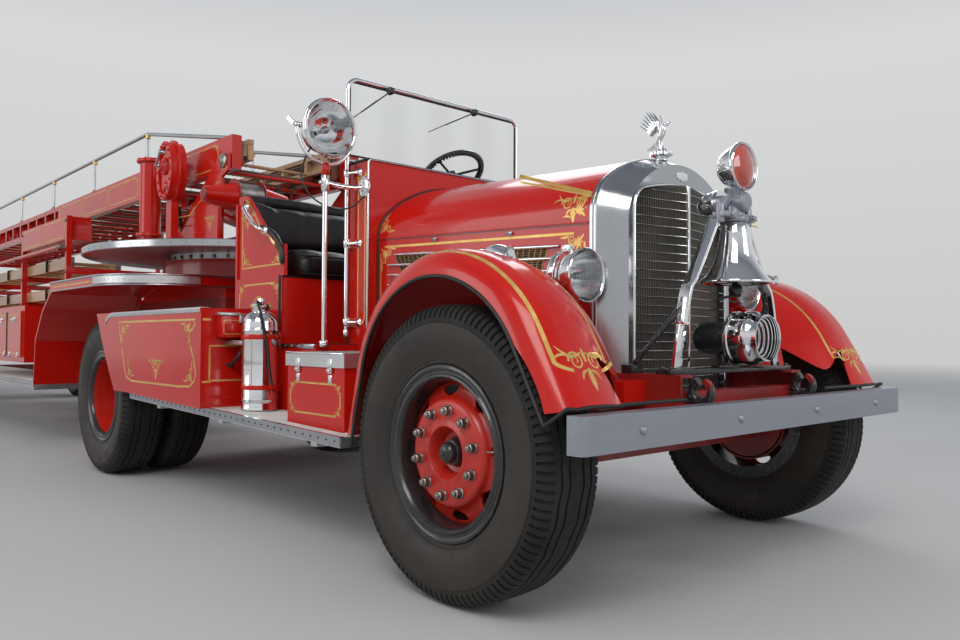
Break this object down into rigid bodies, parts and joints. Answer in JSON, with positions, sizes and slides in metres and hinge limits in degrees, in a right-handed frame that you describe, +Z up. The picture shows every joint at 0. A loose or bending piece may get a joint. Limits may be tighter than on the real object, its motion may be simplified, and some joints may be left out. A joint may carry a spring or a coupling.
{
  "type": "ladder fire truck",
  "caption": "Tractor-drawn aerial ladder fire truck with open cab, steered rear axle, turntable and extending ladder.",
  "frame": {"origin": "on the ground under the middle of the vehicle", "axes": "+X points forward along the vehicle, +Y to its left, +Z up"},
  "size_m": [14.6, 2.26, 2.515],
  "materials": {
    "fire_red": "glossy enamel",
    "frame_red": "enamel, dusty",
    "grey_paint": "satin",
    "black_paint": "satin",
    "engine_iron": "cast",
    "nickel": "polished",
    "chrome": "mirror",
    "aluminium": "brushed",
    "rubber": "matt",
    "black_leather": "soft gloss",
    "clear_glass": "clear",
    "dark_wood": "varnished",
    "pale_wood": "varnished"
  },
  "bodies": {
    "tractor": {"tractor_frame": "frame_red", "axles": "frame_red", "front_bumper": "grey_paint", "engine": "engine_iron", "radiator_shell": "nickel", "grille": "nickel", "hood": "fire_red", "hood_figure": "chrome", "cab_body": "fire_red", "cab_seat": "black_leather", "windscreen_frame": "chrome", "windscreen_glass": "clear_glass", "front_fenders": "fire_red", "lamps": "chrome", "running_boards": "aluminium", "tool_boxes": "fire_red", "rear_fenders": "fire_red", "signal_stand": "chrome", "bell": "chrome", "extinguisher": "chrome"},
    "steering_wheel": {"steering_wheel": "black_paint"},
    "trailer": {"trailer_frame": "frame_red", "trailer_axle": "frame_red", "trailer_body": "fire_red", "compartments": "fire_red", "trailer_boards": "aluminium", "rack_frames": "fire_red", "ladder_racks": "fire_red", "ground_ladders": "pale_wood", "tiller_station": "fire_red", "tiller_seat": "black_leather"},
    "tiller_wheel": {"tiller_wheel": "black_paint"},
    "turntable": {"turntable_deck": "aluminium", "turret": "fire_red"},
    "base_ladder": {"base_ladder": "fire_red", "handrails": "nickel"},
    "middle_ladder": {"middle_ladder": "dark_wood"},
    "top_ladder": {"top_ladder": "pale_wood"},
    "hoist_cylinders": {"hoist_cylinders": "fire_red"},
    "hoist_rods": {"hoist_rods": "chrome"},
    "front_knuckle_right": {"front_knuckle_right": "frame_red"},
    "front_wheel_right": {"front_rim_right": "fire_red", "front_tyre_right": "rubber"},
    "front_knuckle_left": {"front_knuckle_left": "frame_red"},
    "front_wheel_left": {"front_rim_left": "fire_red", "front_tyre_left": "rubber"},
    "trailer_knuckle_right": {"trailer_knuckle_right": "frame_red"},
    "trailer_wheel_right": {"trailer_rim_right": "fire_red", "trailer_tyre_right": "rubber"},
    "trailer_knuckle_left": {"trailer_knuckle_left": "frame_red"},
    "trailer_wheel_left": {"trailer_rim_left": "fire_red", "trailer_tyre_left": "rubber"},
    "rear_wheels_right": {"rear_rims_right": "fire_red", "rear_tyres_right": "rubber"},
    "tool_box_lid_right": {"tool_box_lid_right": "aluminium"},
    "compartment_door_right": {"compartment_door_right": "fire_red"},
    "rear_wheels_left": {"rear_rims_left": "fire_red", "rear_tyres_left": "rubber"},
    "tool_box_lid_left": {"tool_box_lid_left": "aluminium"},
    "compartment_door_left": {"compartment_door_left": "fire_red"}
  },
  "joints": [
    {"name": "articulation", "type": "hinge", "parent": "tractor", "child": "trailer", "pos_m": [3.06, 0, 1.03], "axis": [0, 0, 1], "range_deg": [-75, 75]},
    {"name": "slew", "type": "hinge", "parent": "trailer", "child": "turntable", "pos_m": [3.06, 0, 1.42], "axis": [0, 0, -1], "range_deg": [-140, 140]},
    {"name": "elevate", "type": "hinge", "parent": "turntable", "child": "base_ladder", "pos_m": [3.76, 0, 2.03], "axis": [0, 1, 0], "range_deg": [0, 75]},
    {"name": "extend", "type": "slide", "parent": "base_ladder", "child": "middle_ladder", "axis": [-1, 0, 0], "range_m": [0, 8]},
    {"name": "extend_top", "type": "slide", "parent": "middle_ladder", "child": "top_ladder", "axis": [-1, 0, 0], "range_m": [0, 8]},
    {"name": "hoist_pivot", "type": "hinge", "parent": "turntable", "child": "hoist_cylinders", "pos_m": [3.66, 0, 1.62], "axis": [0, 1, 0], "range_deg": [0, 64.43]},
    {"name": "hoist_rod", "type": "slide", "parent": "hoist_cylinders", "child": "hoist_rods", "axis": [-0.9662, 0, 0.2577], "range_m": [0, 0.437]},
    {"name": "front_steer_right", "type": "hinge", "parent": "tractor", "child": "front_knuckle_right", "pos_m": [6.66, -0.82, 0.5], "axis": [0, 0, 1], "range_deg": [-32, 32]},
    {"name": "front_spin_right", "type": "hinge", "parent": "front_knuckle_right", "child": "front_wheel_right", "pos_m": [6.66, -0.96, 0.5], "axis": [0, 1, 0], "continuous": true},
    {"name": "front_steer_left", "type": "hinge", "parent": "tractor", "child": "front_knuckle_left", "pos_m": [6.66, 0.82, 0.5], "axis": [0, 0, 1], "range_deg": [-32, 32]},
    {"name": "front_spin_left", "type": "hinge", "parent": "front_knuckle_left", "child": "front_wheel_left", "pos_m": [6.66, 0.96, 0.5], "axis": [0, 1, 0], "continuous": true},
    {"name": "trailer_steer_right", "type": "hinge", "parent": "trailer", "child": "trailer_knuckle_right", "pos_m": [-4.34, -0.82, 0.5], "axis": [0, 0, 1], "range_deg": [-28, 28]},
    {"name": "trailer_spin_right", "type": "hinge", "parent": "trailer_knuckle_right", "child": "trailer_wheel_right", "pos_m": [-4.34, -0.96, 0.5], "axis": [0, 1, 0], "continuous": true},
    {"name": "trailer_steer_left", "type": "hinge", "parent": "trailer", "child": "trailer_knuckle_left", "pos_m": [-4.34, 0.82, 0.5], "axis": [0, 0, 1], "range_deg": [-28, 28]},
    {"name": "trailer_spin_left", "type": "hinge", "parent": "trailer_knuckle_left", "child": "trailer_wheel_left", "pos_m": [-4.34, 0.96, 0.5], "axis": [0, 1, 0], "continuous": true},
    {"name": "rear_spin_right", "type": "hinge", "parent": "tractor", "child": "rear_wheels_right", "pos_m": [3.19, -0.96, 0.5], "axis": [0, 1, 0], "continuous": true},
    {"name": "tool_lid_right", "type": "hinge", "parent": "tractor", "child": "tool_box_lid_right", "pos_m": [5.73, -0.62, 0.7603], "axis": [-1, 0, 0], "range_deg": [0, 85]},
    {"name": "compartment_right", "type": "hinge", "parent": "trailer", "child": "compartment_door_right", "pos_m": [0.075, -1.0503, 0.705], "axis": [1, 0, 0], "range_deg": [0, 90]},
    {"name": "rear_spin_left", "type": "hinge", "parent": "tractor", "child": "rear_wheels_left", "pos_m": [3.19, 0.96, 0.5], "axis": [0, 1, 0], "continuous": true},
    {"name": "tool_lid_left", "type": "hinge", "parent": "tractor", "child": "tool_box_lid_left", "pos_m": [5.73, 0.62, 0.7603], "axis": [1, 0, 0], "range_deg": [0, 85]},
    {"name": "compartment_left", "type": "hinge", "parent": "trailer", "child": "compartment_door_left", "pos_m": [0.075, 1.0503, 0.705], "axis": [-1, 0, 0], "range_deg": [0, 90]},
    {"name": "steering_wheel_turn", "type": "hinge", "parent": "tractor", "child": "steering_wheel", "pos_m": [5.01, 0.36, 1.87], "axis": [-0.5682, 0, 0.8229], "range_deg": [-480, 480]},
    {"name": "tiller_wheel_turn", "type": "hinge", "parent": "trailer", "child": "tiller_wheel", "pos_m": [-6.49, 0, 1.85], "axis": [-0.1399, 0, 0.9902], "range_deg": [-336, 336]}
  ],
  "couplings": [
    {"joint": "extend_top", "follows": "extend", "ratio": 1},
    {"joint": "hoist_pivot", "follows": "elevate", "ratio": 0.85239},
    {"joint": "hoist_rod", "follows": "elevate", "m_per_rad": 0.33003},
    {"joint": "front_steer_left", "follows": "front_steer_right", "ratio": 1},
    {"joint": "trailer_steer_left", "follows": "trailer_steer_right", "ratio": 1},
    {"joint": "steering_wheel_turn", "follows": "front_steer_right", "ratio": 15},
    {"joint": "tiller_wheel_turn", "follows": "trailer_steer_right", "ratio": 12}
  ]
}
